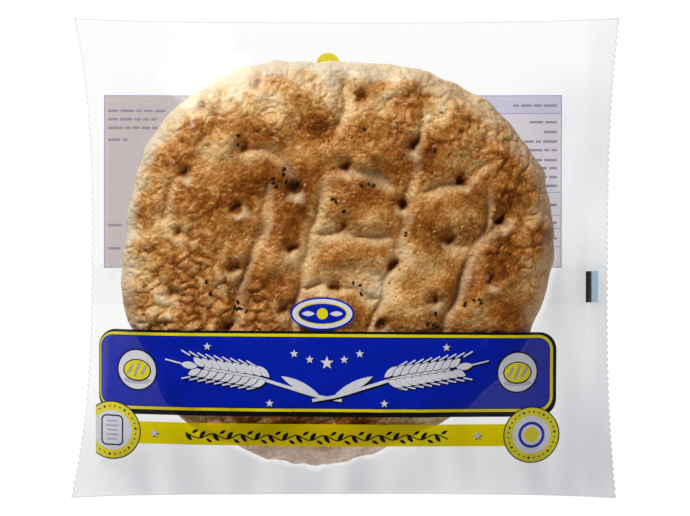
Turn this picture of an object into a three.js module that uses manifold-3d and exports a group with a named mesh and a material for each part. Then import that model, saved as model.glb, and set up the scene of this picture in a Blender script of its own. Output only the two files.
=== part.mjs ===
// A round Turkish flatbread sealed in a clear flow-wrap bag, as one solid lying flat with its front up.
// The origin is under the middle of the bag, on the surface it lies on. X runs along the bag, from one
// crimped end to the other, Y across it and Z up. Millimetres.
import * as THREE from 'three';
import { mergeVertices } from 'three/addons/utils/BufferGeometryUtils.js';
import Module from 'manifold-3d';

// The bag: half its length and width at the corners, and how far its middle is drawn in by the bread.
const BAG_HALF_LENGTH = 170.5;
const BAG_HALF_WIDTH = 148.8;
const LEFT_END_BOW = 13.0;
const RIGHT_END_BOW = 7.0;
const LONG_EDGE_BOW = 2.4;
const BOW_POWER = 2.6; // how squarely an end curves back out to its corners
const CORNER_LEAN = 1.9; // the upper left and lower right corners lie this much further in
const END_SEAL_WIDTH = 12.0;
const FOLD_WIDTH = 3.0; // of the flat pressed along the two long folds
const SEAL_HEIGHT = 4.2; // of the flat seals above the table
const SEAL_WAVE = 1.1; // they ripple up and down by this much
const FILM_THICKNESS = 0.8; // both films together, thickened so that the margin is a solid

// The bread: its outline is a radius that swells and shrinks with the angle, and its crust is a dome.
const BREAD_CENTRE = new THREE.Vector2(-5.6, -4.3);
const BREAD_RADIUS = 130.3;
const BREAD_LOBES = [
  // waves around the outline: how many, size of the cosine, size of the sine
  [1, -2.0, 5.2],
  [2, 4.0, 3.1],
  [3, 2.9, 2.9],
  [4, -2.1, 0.3],
  [5, 0.0, -1.1],
];
const BREAD_HEIGHT = 36.0;
const EQUATOR_HEIGHT = 13.0; // of its widest line
const SHOULDER_POWER = 5.0; // how flat the top stays before it rounds over
const FILM_LEAVES_AT = 0.985; // share of its radius past which the film can't touch it
const FOOT_SHARE = 0.9; // the part of its radius that lies flat on the table

// Fingertip holes pressed in rows: x and y of the first, x drift from one to the next, how many.
const HOLE_PITCH = 36.8;
const HOLE_DEPTH = 6.5;
const HOLE_RADIUS = 4.4;
const HOLE_ROWS = [
  [-98.6, 52.5, -4.0, 4],
  [-62.6, 67.6, -3.4, 5],
  [-29.8, 42.5, -4.0, 4],
  [1.2, 56.4, -3.4, 5],
  [41.5, 69.4, -6.4, 5],
  [71.0, 48.4, -8.1, 4],
  [96.7, 23.5, -6.8, 3],
  [-54.6, 106.6, 0, 1],
  [-88.7, 92.4, 0, 1],
  [10.5, 99.2, 0, 1],
];

// Furrows between the pillows of crust, each a smooth line through a few points.
const FURROW_DEPTH = 4.0;
const FURROW_HALF_WIDTH = 5.0;
const FURROWS = [
  [[-46.1, 50.2], [-50.7, 21.3], [-58.7, 0.6], [-63.2, -15.5], [-69.0, -46.0]],
  [[-12.0, 56.0], [-17.4, 28.1], [-22.0, 12.2], [-26.0, -8.0], [-29.5, -24.0], [-33.0, -52.0]],
  [[49.0, 95.0], [43.0, 60.0], [36.5, 32.0], [31.0, 0.6], [21.7, -26.0], [12.0, -50.0]],
  [[88.0, 46.0], [87.0, 24.0], [78.0, 2.0], [66.3, -23.6], [58.0, -50.0]],
  [[-14.9, 49.0], [-1.2, 54.6], [12.4, 52.1], [32.0, 42.0]],
  [[-20.5, 13.8], [-1.2, 14.5], [19.2, 11.8], [33.0, 11.2]],
  [[-28.5, -20.0], [-5.6, -18.0], [22.0, -26.0]],
  [[-1.0, 113.0], [0.5, 95.0], [-6.0, 74.0]],
  [[42.8, 40.5], [60.0, 43.0], [72.0, 47.5], [84.0, 57.0], [94.0, 57.0]],
  [[61.4, 9.0], [76.0, 6.0], [97.0, 22.0], [106.0, 21.0]],
  [[-104.8, 52.0], [-110.4, 33.5], [-112.0, 18.0]],
  [[-62.0, 66.0], [-42.0, 62.0], [-30.0, 41.0]],
];

// Black seeds lie in loose groups beside the furrows: x and y of a group, its spread and its number.
const SEED_LENGTH = 3.4;
const SEED_WIDTH = 1.9;
const SEED_HEIGHT = 1.4;
const SEED_GROUPS = [
  [-66, 72, 3, 2], [-36, 46, 9, 6], [-9, 29, 8, 3], [16, 45, 8, 3], [15, 79, 4, 1], [55, 63, 4, 1],
  [37, 14, 3, 2], [113, 24, 4, 1], [-84, -20, 6, 2], [-63, -30, 5, 5], [8, -18, 7, 3], [78, -31, 7, 5],
  [52, -38, 6, 4], [20, -37, 5, 1], [-112, -46, 8, 2], [30, -100, 14, 3],
];
const SEED_DRAW = 7; // starts the random draw that places them

// The mesh of the upper face, closer over the bread than over the margins.
const COLUMNS_OVER_BREAD = 52;
const ROWS_OVER_BREAD = 50;
const MARGIN_STEPS = 4; // lines between a seal and the bread
const SETTLING_ROUNDS = 900; // of the stretched film
const TOUCHING = 0.02; // a film this close to the crust lies on it

// The underside: rings of points from the bag's rim in to the bread's foot, as shares of the way.
const UNDERSIDE_RINGS = [0, 0.35, 1];
const UNDERSIDE_SAG = 1.6; // how fast the back film drops from the rim to the table

const smooth = THREE.MathUtils.smoothstep;

/** Distance from the bread's centre to its outline in a direction. */
function breadRadius(angle) {
  return BREAD_LOBES.reduce(
    (radius, [waves, cosine, sine]) =>
      radius + cosine * Math.cos(waves * angle) + sine * Math.sin(waves * angle),
    BREAD_RADIUS,
  );
}

/** How far out a point lies: 0 at the bread's centre, 1 on its outline. */
function shareOfRadius(x, y) {
  const dx = x - BREAD_CENTRE.x;
  const dy = y - BREAD_CENTRE.y;
  return Math.hypot(dx, dy) / breadRadius(Math.atan2(dy, dx));
}

/** Height of the crust before anything is pressed into it. */
function domeHeight(x, y) {
  const out = Math.min(shareOfRadius(x, y), 1);
  return EQUATOR_HEIGHT + (BREAD_HEIGHT - EQUATOR_HEIGHT) * Math.sqrt(1 - out ** SHOULDER_POWER);
}

const holes = HOLE_ROWS.flatMap(([x, y, drift, count]) =>
  Array.from({ length: count }, (_, i) => new THREE.Vector2(x + i * drift, y - i * HOLE_PITCH)),
).filter((hole) => shareOfRadius(hole.x, hole.y) < 0.93);

const furrows = FURROWS.map((points) =>
  new THREE.SplineCurve(points.map(([x, y]) => new THREE.Vector2(x, y))).getPoints(24),
);

/** How much the fingers pressed in at a point: the holes, and the furrows between the pillows. */
function pressedDepth(x, y) {
  const at = new THREE.Vector2(x, y);
  const furrow = Math.min(...furrows.map((line) => Math.min(...line.map((p) => p.distanceTo(at)))));
  const hole = Math.min(...holes.map((p) => p.distanceTo(at)));
  return (
    FURROW_DEPTH * Math.exp(-((furrow / FURROW_HALF_WIDTH) ** 2)) +
    HOLE_DEPTH * Math.exp(-((hole / HOLE_RADIUS) ** 2))
  );
}

/** Height of the crust with its furrows and holes, which fade out over the shoulder. */
function crustHeight(x, y) {
  const fade = 1 - smooth(shareOfRadius(x, y), 0.86, 0.97);
  return domeHeight(x, y) - fade * pressedDepth(x, y);
}

/** The bag's plan: u and v from -1 to 1 along and across it give a point inside its bowed edges. */
function bagPoint(u, v) {
  const bow = 1 - Math.abs(v) ** BOW_POWER;
  const lean = CORNER_LEAN * Math.max(0, -u * v);
  const end = BAG_HALF_LENGTH - lean - bow * (u < 0 ? LEFT_END_BOW : RIGHT_END_BOW);
  return new THREE.Vector2(u * end, v * (BAG_HALF_WIDTH - LONG_EDGE_BOW * (1 - u ** 4)));
}

/** Height of the underside of the margin along the bag's edge, which ripples. */
function edgeHeight(x, y) {
  return SEAL_HEIGHT + SEAL_WAVE * Math.sin(x / 34 + 0.6) * Math.cos(y / 41);
}

/** Line positions from -1 to 1: the seal's inner line, then margin lines, then even ones over the bread. */
function gridLines(half, seal, breadLow, breadHigh, overBread) {
  const low = [-half, -half + seal];
  const high = [half - seal, half];
  const lines = [low[0]];
  for (let i = 0; i < MARGIN_STEPS; i++) lines.push(THREE.MathUtils.lerp(low[1], breadLow, i / MARGIN_STEPS));
  for (let i = 0; i <= overBread; i++) lines.push(THREE.MathUtils.lerp(breadLow, breadHigh, i / overBread));
  for (let i = 1; i <= MARGIN_STEPS; i++) lines.push(THREE.MathUtils.lerp(breadHigh, high[0], i / MARGIN_STEPS));
  lines.push(high[1]);
  return lines.map((at) => at / half);
}

const us = gridLines(
  BAG_HALF_LENGTH,
  END_SEAL_WIDTH,
  BREAD_CENTRE.x - breadRadius(Math.PI),
  BREAD_CENTRE.x + breadRadius(0),
  COLUMNS_OVER_BREAD,
);
const vs = gridLines(
  BAG_HALF_WIDTH,
  FOLD_WIDTH,
  BREAD_CENTRE.y - breadRadius(-Math.PI / 2),
  BREAD_CENTRE.y + breadRadius(Math.PI / 2),
  ROWS_OVER_BREAD,
);

/** The front film pulled tight over the bread: free points sink to the mean of their neighbours. */
function stretchedFront() {
  const plan = vs.map((v) => us.map((u) => bagPoint(u, v)));
  const height = plan.map((row) => row.map((p) => domeHeight(p.x, p.y)));
  const dome = plan.map((row) =>
    row.map((p) => (shareOfRadius(p.x, p.y) < FILM_LEAVES_AT ? domeHeight(p.x, p.y) : 0)),
  );
  const sealed = (i, j) => i === 0 || j <= 1 || i === vs.length - 1 || j >= us.length - 2;
  for (let round = 0; round < SETTLING_ROUNDS; round++) {
    for (let i = 0; i < vs.length; i++) {
      for (let j = 0; j < us.length; j++) {
        const p = plan[i][j];
        height[i][j] = sealed(i, j)
          ? edgeHeight(p.x, p.y) + FILM_THICKNESS
          : Math.max(
              dome[i][j],
              (height[i - 1][j] + height[i + 1][j] + height[i][j - 1] + height[i][j + 1]) / 4,
            );
      }
    }
  }
  return plan.map((row, i) =>
    row.map((p, j) => {
      const touching = height[i][j] - dome[i][j] < TOUCHING;
      return new THREE.Vector3(p.x, p.y, touching ? crustHeight(p.x, p.y) : height[i][j]);
    }),
  );
}

/** The whole bag: the front face, its rim, and an underside that slopes down to the bread's flat foot. */
function bagGeometry() {
  const front = stretchedFront();
  const corners = [];
  const triangle = (a, b, c) => corners.push(...a, ...b, ...c);
  const strip = (a, b, c, d) => {
    triangle(a, b, c);
    triangle(a, c, d);
  };

  for (let i = 0; i + 1 < vs.length; i++) {
    for (let j = 0; j + 1 < us.length; j++) {
      strip(front[i][j], front[i][j + 1], front[i + 1][j + 1], front[i + 1][j]);
    }
  }

  const rim = [
    ...front[0].slice(0, -1),
    ...front.slice(0, -1).map((row) => row.at(-1)),
    ...front.at(-1).slice(1).reverse(),
    ...front.slice(1).map((row) => row[0]).reverse(),
  ];
  const rings = UNDERSIDE_RINGS.map((inward) =>
    rim.map((p) => {
      const angle = Math.atan2(p.y - BREAD_CENTRE.y, p.x - BREAD_CENTRE.x);
      const foot = new THREE.Vector2(FOOT_SHARE * breadRadius(angle), 0)
        .rotateAround(new THREE.Vector2(), angle)
        .add(BREAD_CENTRE);
      const at = new THREE.Vector2(p.x, p.y).lerp(foot, inward);
      return new THREE.Vector3(at.x, at.y, edgeHeight(p.x, p.y) * (1 - inward) ** UNDERSIDE_SAG);
    }),
  );
  [rim, ...rings].slice(0, -1).forEach((outer, k) => {
    const inner = rings[k];
    outer.forEach((p, i) => {
      const next = (i + 1) % outer.length;
      strip(p, inner[i], inner[next], outer[next]);
    });
  });

  const foot = rings.at(-1);
  const flat = foot.map((p) => new THREE.Vector2(p.x, p.y));
  for (const [a, b, c] of THREE.ShapeUtils.triangulateShape(flat, [])) triangle(foot[a], foot[c], foot[b]);

  const geometry = new THREE.BufferGeometry();
  geometry.setAttribute('position', new THREE.Float32BufferAttribute(corners, 3));
  return mergeVertices(geometry, 1e-4);
}

/** A small repeatable random draw between 0 and 1. */
function seededDraw(state) {
  return () => {
    state = (state * 1664525 + 1013904223) % 4294967296;
    return state / 4294967296;
  };
}

/** One seed: a slim lens half sunk in the face below it. */
function seedGeometry(x, y, turn, face) {
  const down = new THREE.Raycaster(new THREE.Vector3(x, y, 2 * BREAD_HEIGHT), new THREE.Vector3(0, 0, -1));
  const seed = new THREE.OctahedronGeometry(0.5, 1);
  seed.deleteAttribute('normal');
  seed.deleteAttribute('uv');
  seed.scale(SEED_LENGTH, SEED_WIDTH, SEED_HEIGHT);
  seed.rotateZ(turn);
  seed.translate(x, y, down.intersectObject(face)[0].point.z);
  return mergeVertices(seed, 1e-4);
}

const wasm = await Module();
wasm.setup();

function toSolid(geometry) {
  return new wasm.Manifold(
    new wasm.Mesh({
      numProp: 3,
      vertProperties: new Float32Array(geometry.attributes.position.array),
      triVerts: new Uint32Array(geometry.index.array),
    }),
  );
}

function toGeometry(solid) {
  const mesh = solid.getMesh();
  const geometry = new THREE.BufferGeometry();
  geometry.setAttribute('position', new THREE.BufferAttribute(mesh.vertProperties, 3));
  geometry.setIndex(new THREE.BufferAttribute(mesh.triVerts, 1));
  geometry.computeVertexNormals();
  return geometry;
}

const draw = seededDraw(SEED_DRAW);
const bare = new THREE.Mesh(bagGeometry());
let filledBag = toSolid(bare.geometry);
for (const [x, y, spread, count] of SEED_GROUPS) {
  for (let i = 0; i < count; i++) {
    const angle = 2 * Math.PI * draw();
    const reach = spread * Math.sqrt(draw());
    const turn = Math.PI * draw();
    const seed = seedGeometry(x + reach * Math.cos(angle), y + reach * Math.sin(angle), turn, bare);
    filledBag = filledBag.add(toSolid(seed));
  }
}

const bread = new THREE.MeshStandardMaterial({ color: '#b28042', roughness: 0.55, metalness: 0 });
const bag = new THREE.Mesh(toGeometry(filledBag), bread);
bag.name = 'bagged_bread';

const group = new THREE.Group();
group.add(bag);
export default group;
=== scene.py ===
import math

import bpy
import numpy as np
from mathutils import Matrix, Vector
from mathutils.bvhtree import BVHTree
from mathutils.geometry import delaunay_2d_cdt


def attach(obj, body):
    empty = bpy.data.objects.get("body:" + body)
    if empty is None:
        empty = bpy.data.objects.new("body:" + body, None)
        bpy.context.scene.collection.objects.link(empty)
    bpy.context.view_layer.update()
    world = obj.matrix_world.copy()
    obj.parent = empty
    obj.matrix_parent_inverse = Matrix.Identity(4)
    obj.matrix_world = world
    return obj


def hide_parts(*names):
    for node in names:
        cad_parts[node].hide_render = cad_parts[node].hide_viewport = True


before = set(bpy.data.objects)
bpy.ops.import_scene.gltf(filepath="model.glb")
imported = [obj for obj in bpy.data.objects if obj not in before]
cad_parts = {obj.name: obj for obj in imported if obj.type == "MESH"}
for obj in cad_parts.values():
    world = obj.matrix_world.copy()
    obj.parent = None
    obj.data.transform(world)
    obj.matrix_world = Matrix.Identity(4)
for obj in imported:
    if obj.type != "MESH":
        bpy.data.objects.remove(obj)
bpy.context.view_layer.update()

# ---- The bread's form ------------------------------------------------------------------------
# A round of soft wheat dough, pressed with the fingertips in rows and baked on a stone: a low dome
# with puffed pillows between furrows, deep fingertip holes, a blistered crust and a paler side.
# Lengths in this file are millimetres until a mesh is made.
MM = 0.001
BREAD_CENTRE = (-5.6, -4.3)
BREAD_RADIUS = 130.3
# Waves around the outline: how many, size of the cosine, size of the sine.
BREAD_LOBES = ((1, -2.0, 5.2), (2, 4.0, 3.1), (3, 2.9, 2.9), (4, -2.1, 0.3), (5, 0.0, -1.1))
BREAD_HEIGHT = 33.0
EQUATOR_HEIGHT = 13.0
SHOULDER_POWER = 5.0
FOOT_SHARE = 0.92
FOOT_LIFT = 0.5

HOLE_PITCH = 36.8
HOLE_ROWS = (  # x and y of the first hole, x drift from one to the next, how many
    (-98.6, 52.5, -4.0, 4), (-62.6, 67.6, -3.4, 5), (-29.8, 42.5, -4.0, 4), (1.2, 56.4, -3.4, 5),
    (41.5, 69.4, -6.4, 5), (71.0, 48.4, -8.1, 4), (96.7, 23.5, -6.8, 3), (-54.6, 106.6, 0, 1),
    (-88.7, 92.4, 0, 1), (10.5, 99.2, 0, 1),
)
FURROWS = (  # a few points along each furrow
    ((-46.1, 50.2), (-50.7, 21.3), (-58.7, 0.6), (-63.2, -15.5), (-69.0, -46.0)),
    ((-12.0, 56.0), (-17.4, 28.1), (-22.0, 12.2), (-26.0, -8.0), (-29.5, -24.0), (-33.0, -52.0)),
    ((49.0, 95.0), (43.0, 60.0), (36.5, 32.0), (31.0, 0.6), (21.7, -26.0), (12.0, -50.0)),
    ((88.0, 46.0), (87.0, 24.0), (78.0, 2.0), (66.3, -23.6), (58.0, -50.0)),
    ((-14.9, 49.0), (-1.2, 54.6), (12.4, 52.1), (32.0, 42.0)),
    ((-20.5, 13.8), (-1.2, 14.5), (19.2, 11.8), (33.0, 11.2)),
    ((-28.5, -20.0), (-5.6, -18.0), (22.0, -26.0)),
    ((-1.0, 113.0), (0.5, 95.0), (-6.0, 74.0)),
    ((42.8, 40.5), (60.0, 43.0), (72.0, 47.5), (84.0, 57.0), (94.0, 57.0)),
    ((61.4, 9.0), (76.0, 6.0), (97.0, 22.0), (106.0, 21.0)),
    ((-104.8, 52.0), (-110.4, 33.5), (-112.0, 18.0)),
    ((-62.0, 66.0), (-42.0, 62.0), (-30.0, 41.0)),
)
FURROW_TAPER = 9.0  # each furrow runs out shallow over this length
FURROW_LIFT = 6.0  # and by this much at its very end
FURROW_ROUND = 1.2  # radius at the bottom of a furrow
FURROW_REACH = 7.5  # how far a furrow's flank slopes down to it
PILLOW_REACH = 19.0  # how far from a furrow the dough is still rounded up
HOLE_RADIUS = 3.7
FUNNEL_REACH = 8.0  # how far from its middle a hole draws the crust down
PEBBLED = (-88, -34, 48)  # x, y and radius of the area with the round pebbles
FLAT_LIP = (-1.65, 0.26)  # angle and half width of the flattened lip at the bread's foot

TILE = 512  # samples along a side of a noise tile
TILE_SIZE = 320.0


def noise_tile(seed, wavelength, stretch, turn):
    """Seamless noise of one wavelength, with a spread of 1; its waves run longer along turn."""
    rng = np.random.default_rng(seed)
    spectrum = np.fft.rfft2(rng.standard_normal((TILE, TILE)))
    fy = np.fft.fftfreq(TILE, TILE_SIZE / TILE)[:, None]
    fx = np.fft.rfftfreq(TILE, TILE_SIZE / TILE)[None]
    along = fx * math.cos(turn) + fy * math.sin(turn)
    across = fy * math.cos(turn) - fx * math.sin(turn)
    waves = np.hypot(along * stretch, across) * wavelength
    spectrum *= np.exp(-(((waves - 1) / 0.4) ** 2))
    tile = np.fft.irfft2(spectrum)
    return tile / tile.std()


def sampled(grid, across, down):
    """A grid's values at points between its own, repeated past its edges."""
    rows, columns = grid.shape
    j, i = np.floor(across).astype(int), np.floor(down).astype(int)
    fx, fy = across - j, down - i
    j, i, jj, ii = j % columns, i % rows, (j + 1) % columns, (i + 1) % rows
    near = grid[i, j] * (1 - fx) + grid[i, jj] * fx
    far = grid[ii, j] * (1 - fx) + grid[ii, jj] * fx
    return near * (1 - fy) + far * fy


def noise(x, y, seed, wavelength, stretch=1.0, turn=0.0):
    """The values at points of a noise tile."""
    tile = noise_tile(seed, wavelength, stretch, turn)
    return sampled(tile, x * (TILE / TILE_SIZE), y * (TILE / TILE_SIZE))


def stirred(x, y, amount, seed, wavelength):
    """Points moved about by noise, so that what is laid out on them isn't regular."""
    return x + amount * noise(x, y, seed, wavelength), y + amount * noise(x, y, seed + 1, wavelength)


def cells(x, y, size, seed):
    """Distances to the nearest and the second nearest of scattered points, in cell sizes."""
    offsets = np.random.default_rng(seed).random((64, 64, 2))
    gx, gy = x / size, y / size
    ix, iy = np.floor(gx).astype(int), np.floor(gy).astype(int)
    first, second = np.full(x.shape, 9.0), np.full(x.shape, 9.0)
    for dx in (-1, 0, 1):
        for dy in (-1, 0, 1):
            offset = offsets[(ix + dx) % 64, (iy + dy) % 64]
            away = np.hypot(gx - ix - dx - offset[..., 0], gy - iy - dy - offset[..., 1])
            second = np.minimum(second, np.maximum(first, away))
            first = np.minimum(first, away)
    return first, second


def lumps(x, y, size, seed, steepness, power):
    """Rounded lumps, 0 in the creases between them and 1 on top."""
    first, second = cells(x, y, size, seed)
    return np.clip(steepness * (second - first), 0, 1) ** power


def step(low, high, value):
    """0 below low and 1 above high, with a smooth rise between; low above high turns it round."""
    t = np.clip((value - low) / (high - low), 0, 1)
    return t * t * (3 - 2 * t)


def bread_radius(angle):
    lobes = (c * np.cos(k * angle) + s * np.sin(k * angle) for k, c, s in BREAD_LOBES)
    return BREAD_RADIUS + sum(lobes)


def share_out(x, y):
    """0 at the bread's centre, 1 on its outline."""
    dx, dy = x - BREAD_CENTRE[0], y - BREAD_CENTRE[1]
    return np.hypot(dx, dy) / bread_radius(np.arctan2(dy, dx))


def spline(points, steps):
    """Points along a smooth curve through a few given ones."""
    p = np.array([points[0], *points, points[-1]], float)
    t = np.linspace(0, 1, steps, endpoint=False)[:, None]
    runs = [
        b + 0.5 * t * (c - a + t * (2 * a - 5 * b + 4 * c - d + t * (3 * (b - c) + d - a)))
        for a, b, c, d in zip(p, p[1:], p[2:], p[3:])
    ]
    return np.concatenate([*runs, p[-1:]])


def distance_to(points, x, y):
    """Distance to the nearest of a few points."""
    nearest = np.full(x.shape, 1e9)
    for px, py in points:
        nearest = np.minimum(nearest, (x - px) ** 2 + (y - py) ** 2)
    return np.sqrt(nearest)


def distance_to_furrow(points, x, y):
    """Distance to a furrow's line, more by up to FURROW_LIFT where the furrow runs out."""
    line = spline(points, 45)
    run = np.concatenate([[0], np.hypot(*np.diff(line, axis=0).T).cumsum()])
    short = np.clip(1 - np.minimum(run, run[-1] - run) / FURROW_TAPER, 0, 1)
    nearest = np.full(x.shape, 1e9)
    for (px, py), lift in zip(line, FURROW_LIFT * short**2):
        nearest = np.minimum(nearest, np.hypot(x - px, y - py) + lift)
    return np.hypot(nearest, FURROW_ROUND)


def patch(x, y, centre_x, centre_y, radius):
    """1 in the middle of a soft round patch, fading to 0 outside it."""
    return np.exp(-((x - centre_x) ** 2 + (y - centre_y) ** 2) / radius**2)


def clear_of(distances, reach):
    """1 beyond reach of every furrow and 0 in one; where furrows meet, they merge smoothly."""
    return np.prod([1 - np.clip(1 - away / reach, 0, 1) ** 2 for away in distances], axis=0)


holes = [
    (x + i * drift, y - i * HOLE_PITCH)
    for x, y, drift, count in HOLE_ROWS
    for i in range(count)
    if share_out(x + i * drift, y - i * HOLE_PITCH) < 0.93
]
# Most patches are uneven browning; the paler ones at the foot, (-86, -101) and (34, -101), and on the
# right rim, (121, -4), lighten places that lie in shade: painted light.
BROWNINGS_AND_LIT_PATCHES = (  # x, y and radius of a patch, and how much darker it is made than the rest
    (-6, -6, 26, -0.27), (37, -16, 19, -0.44), (62, 25, 17, -0.22), (-94, 4, 22, -0.18),
    (-68, 87, 16, -0.22), (84, 76, 26, -0.20), (-86, -101, 16, -0.42), (34, -101, 17, -0.30),
    (121, -4, 12, -0.22), (92, -30, 30, -0.10), (-36, 42, 26, 0.20), (36, 47, 14, 0.24),
    (-68, -32, 18, 0.14), (-68, 8, 14, 0.12),
)


def crust(x, y, flat_x, flat_y, out):
    """The crust's relief over its smooth dome, and what its finish reads: how brown, with painted shade
    in its creases and holes; how cream, with painted light on the walls facing the light; and how pale.

    x and y are its place in plan, flat_x and flat_y its place on the crust rolled out flat.
    """
    warp_x, warp_y = stirred(x, y, 0.9, 11, 24)
    furrows = [distance_to_furrow(points, warp_x, warp_y) for points in FURROWS]
    furrow = np.min(furrows, axis=0)
    hole = distance_to(holes, x + 0.7 * noise(x, y, 13, 8), y)
    on_top = 1 - step(0.84, 0.98, out)
    uneven = np.clip(1 + 0.22 * noise(x, y, 14, 38), 0.5, 1.5)
    flank = uneven * (1 - clear_of(furrows, FURROW_REACH))
    pillow = clear_of(furrows, PILLOW_REACH)
    crease = uneven * np.exp(-(((furrow - FURROW_ROUND) / 1.2) ** 2))
    core = np.exp(-((hole / HOLE_RADIUS) ** 2.6))
    funnel = np.clip(1 - hole / FUNNEL_REACH, 0, 1) ** 1.6

    # The pale side: how far in it reaches, and where the oven made it brown after all. It is strongest on
    # the side facing the light and weaker on the far side, painted light over the pale dough.
    angle = np.arctan2(y - BREAD_CENTRE[1], x - BREAD_CENTRE[0])
    facing_left = 0.5 - 0.5 * np.cos(angle - 0.15)
    facing_down = step(0.55, 0.95, np.cos(angle + 1.5))
    facing_up = step(0.55, 0.95, np.cos(angle - 1.2))
    edge = out + 0.016 * noise(flat_x, flat_y, 33, 18)
    edge = edge + 0.09 * facing_down + 0.05 * facing_up
    brown_side = step(0.84, 0.97, np.cos(angle + 2.25)) * step(-112, -104, y)
    lit_side = 0.4 + 0.6 * step(0.12, 0.45, facing_left)
    golden_side = step(0.84, 0.97, np.cos(angle + 2.72))
    pale = step(0.88, 0.96, edge) * lit_side * (1 - 0.9 * brown_side) * (1 - 0.6 * golden_side)

    # Blisters where the crust rose freely, out towards the edge. The pressed middle and the pale
    # side are smoother.
    pebbled = patch(x, y, *PEBBLED)
    free = step(0.42, 0.78, out + 0.3 * pebbled + 0.10 * noise(x, y, 15, 50))
    free = free * (1 - 0.6 * flank) * (1 - 0.4 * pale) * (1 - 0.9 * step(10.0, 4.0, hole))
    pull_x, pull_y = stirred(flat_x, flat_y, 2.2, 16, 15)
    blister = lumps(pull_x, pull_y, 10.0, 21, 1.35, 0.6)
    pimple = lumps(pull_x * 1.25 + 1.3, pull_y, 4.3, 22, 1.2, 0.5)
    grain = lumps(pull_x, pull_y * 1.2, 2.5, 23, 1.2, 0.5)
    # Low on the left the blisters are round pebbles with sharp creases between them.
    pebble = lumps(*stirred(flat_x, flat_y, 1.1, 36, 12), 9.0, 24, 1.5, 0.5)
    pebbles = step(0.2, 0.7, pebbled) * (1 - 0.5 * flank) * (1 - 0.4 * pale)
    pebbles = pebbles * (1 - 0.8 * step(8.0, 3.5, hole))
    vigour = np.clip(0.6 + 0.4 * pebbled + 0.2 * step(0.2, 0.9, np.cos(angle - 0.6)), 0, 1)
    vigour = vigour * (1 - 0.5 * step(15, -25, y) * step(30, 80, x))
    fold_share = step(-0.3, 0.9, noise(x, y, 18, 46)) * free * (1 - pebbled)
    upright = np.abs(noise(flat_x, flat_y, 19, 12, 2.6, 1.45))
    slanted = np.abs(noise(flat_x, flat_y, 20, 11, 2.0, -0.5))
    fold = np.minimum(np.where(y > 20, upright, slanted), 1.1)
    side = 1 - 0.65 * step(0.93, 1.0, out)
    flattened = step(0.88, 1.0, out) * np.exp(-(((angle - FLAT_LIP[0]) / FLAT_LIP[1]) ** 2))
    swollen = side * free * vigour * (1 - pebbles)
    skin = side * (0.32 + 0.18 * free) * (1 - 0.5 * np.maximum(pebbles, pale))
    # Heights over the dome: its waves, what was pressed into it, blisters, pebbles, lip and skin.
    relief = (
        0.9 * noise(x, y, 25, 60)
        + 0.6 * noise(x, y, 26, 22)
        - on_top * (1.5 * flank + 0.9 * crease + 3.6 * core + 2.8 * funnel - 3.3 * (pillow - 0.8))
        + swollen * (2.4 * blister + 1.5 * fold_share * fold - 1.5)
        + side * pebbles * (2.8 * pebble - 1.7)
        - flattened * (2.8 + 0.5 * noise(flat_x, flat_y, 38, 11))
        + skin * (pimple + 0.6 * grain - 0.9)
    )
    # Below each furrow and hole the stretched wall stays pale. The pale patch is laid only on the wall
    # and bank that face the light, shifted to the lower right of the hole and the furrow: paler dough
    # with painted light.
    lit_below_holes = [(hole_x + 1.0, hole_y - 3.6) for hole_x, hole_y in holes]
    wall = distance_to(lit_below_holes, *stirred(x, y, 1.5, 34, 10))
    lit_banks = [distance_to_furrow(points, warp_x - 1.8, warp_y + 1.8) for points in FURROWS]
    lit_bank = np.min(lit_banks, axis=0)
    lit_bank_share = 0.38 * step(4.5, 1.0, lit_bank) * uneven * (1 - 0.6 * step(70, 110, x))
    pressed_and_lit = np.maximum(lit_bank_share, 0.8 * step(7.5, 0.5, wall))
    # How brown: the middle of a pillow more than its edge. A hole's core is darkened as painted shade,
    # and the creases between blisters, pebbles and grains and along the furrows are darker, partly
    # browning and partly painted shade. Near the rim on the side facing the light it is paler as painted
    # light, and it is browner towards the lower right and paler towards the top.
    bake_and_shade = (
        0.35
        + 0.22 * step(0.0, 9.0, np.minimum(furrow, hole * 1.3))
        - 0.15 * pebbled
        + 0.10 * step(20, 90, x + 0.3 * (60 - y))
        - 0.16 * step(45, 112, y - 0.1 * x)
        - 0.28 * step(0.70, 0.95, edge) * lit_side * step(0.9, 0.4, -np.sin(angle))
        + 0.10 * noise(x, y, 31, 34)
        + 0.045 * noise(x, y, 32, 9)
        + 0.30 * free * vigour * (1 - pebbles) * (0.8 - blister)
        + 0.50 * pebbles * (0.75 - pebble)
        + 0.13 * (0.65 - pimple)
        + 0.15 * (0.65 - grain)
        + 0.42 * core
        + 0.18 * crease
    )
    for *place, amount in BROWNINGS_AND_LIT_PATCHES:
        bake_and_shade = bake_and_shade + amount * patch(x, y, *place)
    # Cream where the dough was stretched, laid on the lit walls as painted light, and none in a hole's
    # core, which stays dark.
    cream_and_lit_side = np.clip(on_top * (pressed_and_lit - 0.9 * core), 0, 1)
    return relief, bake_and_shade, cream_and_lit_side, pale


def rolled_profile():
    """Down the crust from its top to its widest line: shares of the radius, heights, the run so
    far as a share of the whole, and the whole run."""
    share = np.sin(np.linspace(0, math.pi / 2, 2000))
    height = EQUATOR_HEIGHT + (BREAD_HEIGHT - EQUATOR_HEIGHT) * np.sqrt(1 - share**SHOULDER_POWER)
    run = np.hypot(np.diff(share) * BREAD_RADIUS, np.diff(height)).cumsum()
    run = np.concatenate([[0], run])
    return share, height, run / run[-1], run[-1]


def grid_quads(index):
    """The faces between neighbours in a grid of point numbers, anticlockwise."""
    corners = (index[:-1, :-1], index[:-1, 1:], index[1:, 1:], index[1:, :-1])
    return np.stack(corners, -1).reshape(-1, 4)


def only_used(faces):
    """The points that the faces use, and the faces with those points numbered anew."""
    used, renumbered = np.unique(faces, return_inverse=True)
    return used, renumbered.reshape(np.shape(faces)).tolist()


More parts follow.
